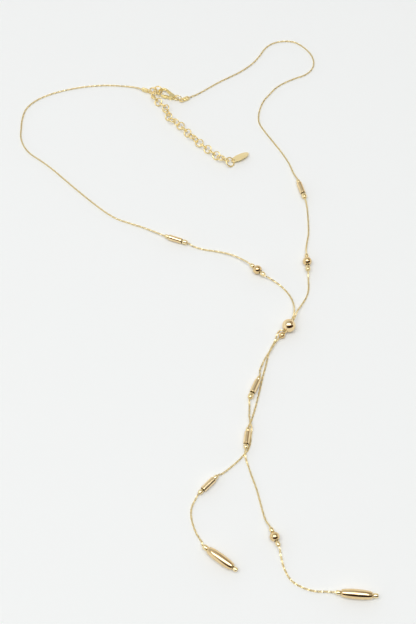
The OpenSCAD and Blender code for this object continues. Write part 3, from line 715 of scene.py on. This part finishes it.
# Outlines of the clasp's plates, corner by corner
CHEEK = [(0.95, -0.5), (1.7, -1.2), (2.9, -1.5), (3.9, -1.3), (3.85, 0), (3.75, 1.3), (3.2, 1.8),
         (2.4, 1.85), (1.7, 1.4), (0.95, 0.5)]
WEB = [(0.95, -0.45), (1.7, -1.1), (2.9, -1.4), (3.7, -1.25), (3.6, -0.45), (1.75, -0.4),
       (1.65, 1.2), (0.95, 0.45)]
LEVER_ROOT = [(2.9, 0.15), (4.6, 0.75), (7.7, 1.7), (7.7, 2.5), (4.6, 2.05), (2.9, 1.7)]
BLADE = [(4.2, 0.65), (6, 1.15), (7.75, 1.7), (7.85, 2.3), (7.55, 2.6), (6.2, 2.5), (4.8, 2.25),
         (4.2, 2.0)]


def hook_line():
    """Centre line of the hook: straight from the hinge block to the arch, then round the bend."""
    a = np.radians(np.linspace(-ARCH_ANGLE, TIP_ANGLE, 40))
    bend = BEND + HOOK_R * np.stack([np.cos(a), np.sin(a)], 1)
    u = np.linspace(0, 1, 10)[:-1, None]
    return np.r_[HOOK_START + u * (bend[0] - HOOK_START), bend]


def add_plate(shape, outline, low, high, edge):
    """Adds a plate with rounded edges to a shape."""
    shape.skin(slab(outline, low, high, edge), ends_closed=True, loop=False)


clasp = Shape()
grid, _ = wire_ring(EYE_R, EYE_WIRE)
clasp.skin(grid)
hook = hook_line()
share = np.linspace(0, 1, len(hook))
hook_bar = bar(hook, np.interp(share, HOOK_SHARES, HOOK_WIDTHS),
               np.interp(share, HOOK_SHARES, HOOK_HEIGHTS), HOOK_POWER)
clasp.skin(hook_bar, ends_closed=True, loop=False)
for low, high in ((-CLASP_T / 2, -SLOT_T / 2), (SLOT_T / 2, CLASP_T / 2)):
    add_plate(clasp, rounded(CHEEK), low, high, CHEEK_EDGE)
add_plate(clasp, rounded(WEB, WEB_CORNER), WEB_STEP - CLASP_T / 2, CLASP_T / 2 - WEB_STEP, WEB_EDGE)
add_plate(clasp, circle_outline(PIVOT, PIN_R), -CLASP_T / 2 - PIN_OUT,
          CLASP_T / 2 + PIN_OUT, PIN_EDGE)
clasp.place(CLASP_TURN, clasp_tail)
stand_for(clasp.make("lobster_clasp_hook", CLASP_GOLD), "clasp_body")

lever = Shape()
add_plate(lever, circle_outline(PIVOT, HUB_R), -LEVER_HALF, LEVER_HALF, LEVER_EDGE)
add_plate(lever, rounded(LEVER_ROOT, ROOT_CORNER), -LEVER_HALF, LEVER_HALF, LEVER_EDGE)
add_plate(lever, rounded(BLADE), -BLADE_HALF, BLADE_HALF, BLADE_EDGE)
lever.place(CLASP_TURN, clasp_tail)
stand_for(lever.make("lobster_clasp_lever", CLASP_GOLD), "clasp_lever",
          "clasp_lever")


# End cap's body: places along it, crowded where it turns in. Its section swells over a length that
# begins ahead of the mouth, closes over one that ends past the back, and is never less than a
# share of the full one. Then the power of its section, how its points crowd at the sides, the
# groove between the flaps, and the bore with its lip
CAP_STATIONS = [0.0, 0.06, 0.14, 0.24, 0.4, 0.6, 0.8, 1.0, 1.3, 1.7, 2.1, 2.4, 2.6, 2.8, 2.95,
                3.07, 3.15, 3.2]
CAP_AHEAD, CAP_SWELL = 0.1, 0.9
CAP_PAST, CAP_CLOSE = 0.05, 0.7
CAP_LEAST, CAP_POWER = 0.55, 0.75
CAP_CROWD = 0.42
GROOVE_DEPTH, GROOVE_SPREAD = 0.14, 0.1
CAP_BORE_R, CAP_LIP_R, CAP_LIP_DEPTH = 0.48, 0.52, 0.1


def cap_body():
    """Folded end cap from its mouth to its back. Its section is a rounded oblong whose half width
    and half height swell from the mouth and close at the back, and a narrow groove runs along
    the top where the two flaps meet. At the mouth the wall turns in to the bore."""
    u = np.array(CAP_STATIONS)
    swell = np.clip(np.minimum((u + CAP_AHEAD) / CAP_SWELL, (CAP_L + CAP_PAST - u) / CAP_CLOSE), 0, 1)
    share = CAP_LEAST + (1 - CAP_LEAST) * np.sqrt(1 - (1 - swell)**2)
    t = np.linspace(0, 2 * np.pi, 72, endpoint=False)
    v = t - CAP_CROWD * np.sin(2 * t - np.pi)
    side = np.sign(np.cos(v)) * np.abs(np.cos(v))**CAP_POWER
    rise = np.sign(np.sin(v)) * np.abs(np.sin(v))**CAP_POWER
    y = share[:, None] * CAP_W / 2 * side
    z = share[:, None] * CAP_H / 2 * rise
    z = z - GROOVE_DEPTH * np.exp(-(y / GROOVE_SPREAD)**2) * (rise > 0)
    x = np.broadcast_to(u[:, None], y.shape)
    outer = np.stack([x, y, z], -1)
    bore = ((CAP_DEPTH, CAP_BORE_R), (CAP_LIP_DEPTH, CAP_BORE_R), (0.0, CAP_LIP_R))
    mouth = [np.stack([0 * v + d, r * np.cos(v), r * np.sin(v)], -1) for d, r in bore]
    return np.concatenate([np.stack(mouth), outer])


def end_cap(name, node, rotation, mouth, eye_rise=0.0):
    """A folded end cap with its eye, in its place."""
    shape = Shape().skin(cap_body(), ends_closed=True, loop=False)
    eye, _ = wire_ring(EYE_R, EYE_WIRE)
    shape.skin(eye + np.array([CAP_EYE, 0, eye_rise]))
    shape.place(rotation, mouth)
    return stand_for(shape.make(name, PALE_GOLD), node)


end_cap("left_end_cap", "end_cap_left", turn(90, 0, LEFT_HEADING), LEFT_MOUTH)
end_cap("right_end_cap", "end_cap_right", turn(0, 0, RIGHT_HEADING), RIGHT_MOUTH, RIGHT_EYE_RISE)

# Extender links: heading, roll about it, and lift above where the link would lie
LINKS = [
    (-84, 55, 0), (-62, -50, 0), (-44, 40, 0.1), (-42, -50, 0), (-66, 40, 0.1), (-82, -50, 0),
    (-66, 40, 0.1), (-40, -28, 0.5), (-38, 85, 0), (-50, 18, 0.8), (-54, -50, 0), (-50, 40, 0.1),
    (-50, -28, 0.5), (-46, 85, 0), (-46, 18, 0.8), (-46, -50, 0), (-44, 40, 0.1), (-44, -50, 0),
    (-40, 40, 0.1), (-34, -15, 1.1), (-26, -70, 0.2),
]
# Links' radius and wire, and the play between neighbours: usual, at the last two, at the first
LINK_R, LINK_WIRE = 1.9, 0.6
LINK_SPACE, END_LINK_SPACE, FIRST_LINK_SPACE = 0.24, 0.5, 0.3
first_reach = JUMP_R + LINK_R - (JUMP_WIRE + LINK_WIRE) / 2 - FIRST_LINK_SPACE
link_centre = JUMP_CENTRE + first_reach * along(LINKS[0][0])
extender = Shape()
for i, (heading, roll, lift) in enumerate(LINKS):
    if i:
        space = END_LINK_SPACE if i > len(LINKS) - 3 else LINK_SPACE
        pitch = 2 * (LINK_R - LINK_WIRE / 2) - space
        link_centre = link_centre + pitch / 2 * (along(LINKS[i - 1][0]) + along(heading))
    link_centre[2] = LINK_R * abs(math.sin(math.radians(roll))) + LINK_WIRE / 2 + lift
    grid, _ = wire_ring(LINK_R, LINK_WIRE, around=36, section=12)
    extender.skin(grid @ turn(roll, 0, heading).T + link_centre)
stand_for(extender.make("extender_links", PALE_GOLD), "extender_chain")

# End ring: radius, wire, lean and heading, and how far its near side lies past the last link's
# centre
END_RING_R, END_RING_WIRE, END_RING_LEAN, END_RING_HEADING = 2.25, 0.65, 35, -28
END_RING_PAST = 0.7
end_ring_reach = END_RING_PAST + END_RING_R * math.cos(math.radians(END_RING_LEAN))
end_ring_centre = link_centre + end_ring_reach * along(LINKS[-1][0])
end_ring_centre[2] = END_RING_R * math.sin(math.radians(END_RING_LEAN)) + END_RING_WIRE / 2
ring_piece("tag_ring", "end_ring", END_RING_R, END_RING_WIRE,
           turn(0, END_RING_LEAN, END_RING_HEADING), end_ring_centre, slit_at=150.0)

# Tag: its size, its hole, the rounding of its rim and of the hole's edge, the places of its
# faces' points between hole and rim, how it lies, and how far round the end ring it hangs
TAG_L, TAG_W, TAG_T, TAG_HOLE_R, HOLE_FROM_END = 10.2, 4.7, 0.45, 0.75, 1.2
TAG_RIM, TAG_HOLE_EDGE = 0.14, 0.08
FACE_SHARES = (0.0, 0.03, 0.3, 0.6, 0.9, 0.98)
TAG_HEADING, TAG_ROLL, TAG_PITCH, TAG_TURN = 33, -18, 0.85, math.radians(66)
tag_hole = (end_ring_centre + END_RING_R * math.cos(TAG_TURN) * along(END_RING_HEADING, -END_RING_LEAN)
            + END_RING_R * math.sin(TAG_TURN) * along(END_RING_HEADING + 90))


def oval_plate():
    """The tag: a closed loop of rows from the hole's wall over the top, round the rounded rim and
    back below. A point lies between the hole's circle and the oval, along the ray from the hole."""
    a = np.linspace(0, 2 * np.pi, 96, endpoint=False)
    ca, sa = np.cos(a), np.sin(a)
    rx, ry, shift = TAG_L / 2, TAG_W / 2, TAG_L / 2 - HOLE_FROM_END
    q = (ca / rx)**2 + (sa / ry)**2
    b = -ca * shift / rx**2
    edge = (-b + np.sqrt(b**2 - q * ((shift / rx)**2 - 1))) / q
    half, r = TAG_T / 2, TAG_RIM
    start = TAG_HOLE_R + TAG_HOLE_EDGE
    turn_in = np.radians([90, 67.5, 45, 22.5, 0])
    rows = []
    for sign in (1, -1):
        corner = [(edge - r + r * math.cos(t), sign * (half - r + r * math.sin(t)))
                  for t in turn_in]
        face = [(start + (edge - r - start) * k, sign * half) for k in FACE_SHARES]
        hole = [(TAG_HOLE_R + 0 * edge, sign * (half - TAG_HOLE_EDGE))]
        rows += [hole + face + corner] if sign > 0 else [(hole + face + corner)[::-1]]
    loop = rows[0] + rows[1]
    return np.stack([np.stack([d * ca, d * sa, np.full(len(a), z)], -1) for d, z in loop])


GRAIN_STRETCH = (0.06, 1.0, 1.0)
BRUSHED = plated("brushed tag gold", (0.98, 0.82, 0.455), (0.94, 0.77, 0.40), 0.3, 0.08, 300, 0.25,
                 grain=((0, 0, math.radians(-TAG_HEADING)), GRAIN_STRETCH))
tag = Shape().skin(oval_plate()).place(turn(TAG_ROLL, TAG_PITCH, TAG_HEADING), tag_hole)
stand_for(tag.make("blank_oval_tag", BRUSHED), "oval_tag")

# Surface that the necklace lies on, with half its side in metres
FLOOR = 3.0
FLOOR_TONE, FLOOR_ROUGH = (0.94, 0.965, 0.962, 1), 0.7
floor_corners = [(-FLOOR, -FLOOR, 0), (FLOOR, -FLOOR, 0), (FLOOR, FLOOR, 0), (-FLOOR, FLOOR, 0)]
floor_mesh = bpy.data.meshes.new("white surface")
floor_mesh.from_pydata(floor_corners, [], [(0, 1, 2, 3)])
floor = bpy.data.objects.new("white_surface", floor_mesh)
bpy.context.scene.collection.objects.link(floor)
white = bpy.data.materials.new("white surface")
white.use_nodes = True
paint = white.node_tree.nodes["Principled BSDF"]
paint.inputs["Base Color"].default_value = FLOOR_TONE
paint.inputs["Roughness"].default_value = FLOOR_ROUGH
floor_mesh.materials.append(white)
floor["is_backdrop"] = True

# Light: a large soft panel above, with its size and place in metres, its power in watts and its
# tilt in degrees
PANEL_SIZE, PANEL_POWER = (2.1, 0.85), 19.5
PANEL_AT, PANEL_TILT = (-0.24, -0.32, 1.8), 28
panel_data = bpy.data.lights.new("panel", "AREA")
panel_data.shape = "RECTANGLE"
panel_data.size, panel_data.size_y = PANEL_SIZE
panel_data.energy = PANEL_POWER
panel = bpy.data.objects.new("panel", panel_data)
panel.location = PANEL_AT
panel.rotation_euler = (math.radians(PANEL_TILT), 0, 0)
bpy.context.scene.collection.objects.link(panel)

# Room: its brightness against the height looked at, from the horizon's 0 to overhead's 1, its
# blue against its other colours, and what the camera itself sees past the surface
WALL_STOPS = [(0.0, 1.0), (0.25, 0.95), (0.5, 0.66), (0.8, 0.56), (1.0, 0.66)]
WALL_BLUE = 1.01
BACKDROP = (0.88, 0.89, 0.885, 1)
# Dark places in the room: azimuth from the camera's side towards +X, height and radius in
# degrees, and the tint that is left of the room's own light there
BROWN, TAN = (0.13, 0.075, 0.05), (0.64, 0.56, 0.48)
DARK_PLACES = [(-30, 27, 17, BROWN), (-5, 31, 22, BROWN), (22, 32, 23, BROWN),
               (48, 27, 20, BROWN), (70, 18, 14, BROWN), (130, 40, 26, TAN)]
# Soft edge of a dark place: how far it reaches outside and inside the radius, in degrees
SOFT_OUT, SOFT_IN = 6, 4

world = bpy.data.worlds.new("pale room")
world.use_nodes = True
bpy.context.scene.world = world
room = world.node_tree
room.nodes.clear()
look = node_of(room, "ShaderNodeTexCoord").outputs["Generated"]
height = node_of(room, "ShaderNodeSeparateXYZ", {"Vector": look}).outputs["Z"]
walls = node_of(room, "ShaderNodeValToRGB", {"Fac": height})
ramp = walls.color_ramp.elements
ramp[0].position, ramp[1].position = WALL_STOPS[0][0], WALL_STOPS[-1][0]
for position, _ in WALL_STOPS[1:-1]:
    ramp.new(position)
for element, (_, level) in zip(ramp, WALL_STOPS):
    element.color = (level, level, level * WALL_BLUE, 1)


def mixed(share, first, second):
    """The mix of two colours by a share, in the room's nodes."""
    return node_of(room, "ShaderNodeMix", {0: share, 6: first, 7: second},
                   data_type="RGBA").outputs[2]


shade = walls.outputs["Color"]
for azimuth, rise, radius, tint in DARK_PLACES:
    toward = node_of(room, "ShaderNodeVectorMath", {0: look, 1: tuple(along(azimuth - 90, rise))},
                     operation="DOT_PRODUCT").outputs["Value"]
    dark = node_of(room, "ShaderNodeMapRange", {
        "Value": toward, "From Min": math.cos(math.radians(radius + SOFT_OUT)),
        "From Max": math.cos(math.radians(radius - SOFT_IN)), "To Min": 0.0, "To Max": 1.0},
        interpolation_type="SMOOTHSTEP").outputs["Result"]
    left = mixed(dark, (1, 1, 1, 1), (*tint, 1))
    shade = node_of(room, "ShaderNodeVectorMath", {0: shade, 1: left},
                    operation="MULTIPLY").outputs["Vector"]
seen = node_of(room, "ShaderNodeLightPath").outputs["Is Camera Ray"]
lit = node_of(room, "ShaderNodeBackground", {"Color": mixed(seen, shade, BACKDROP), "Strength": 1.0})
node_of(room, "ShaderNodeOutputWorld", {"Surface": lit.outputs["Background"]})

low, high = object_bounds()
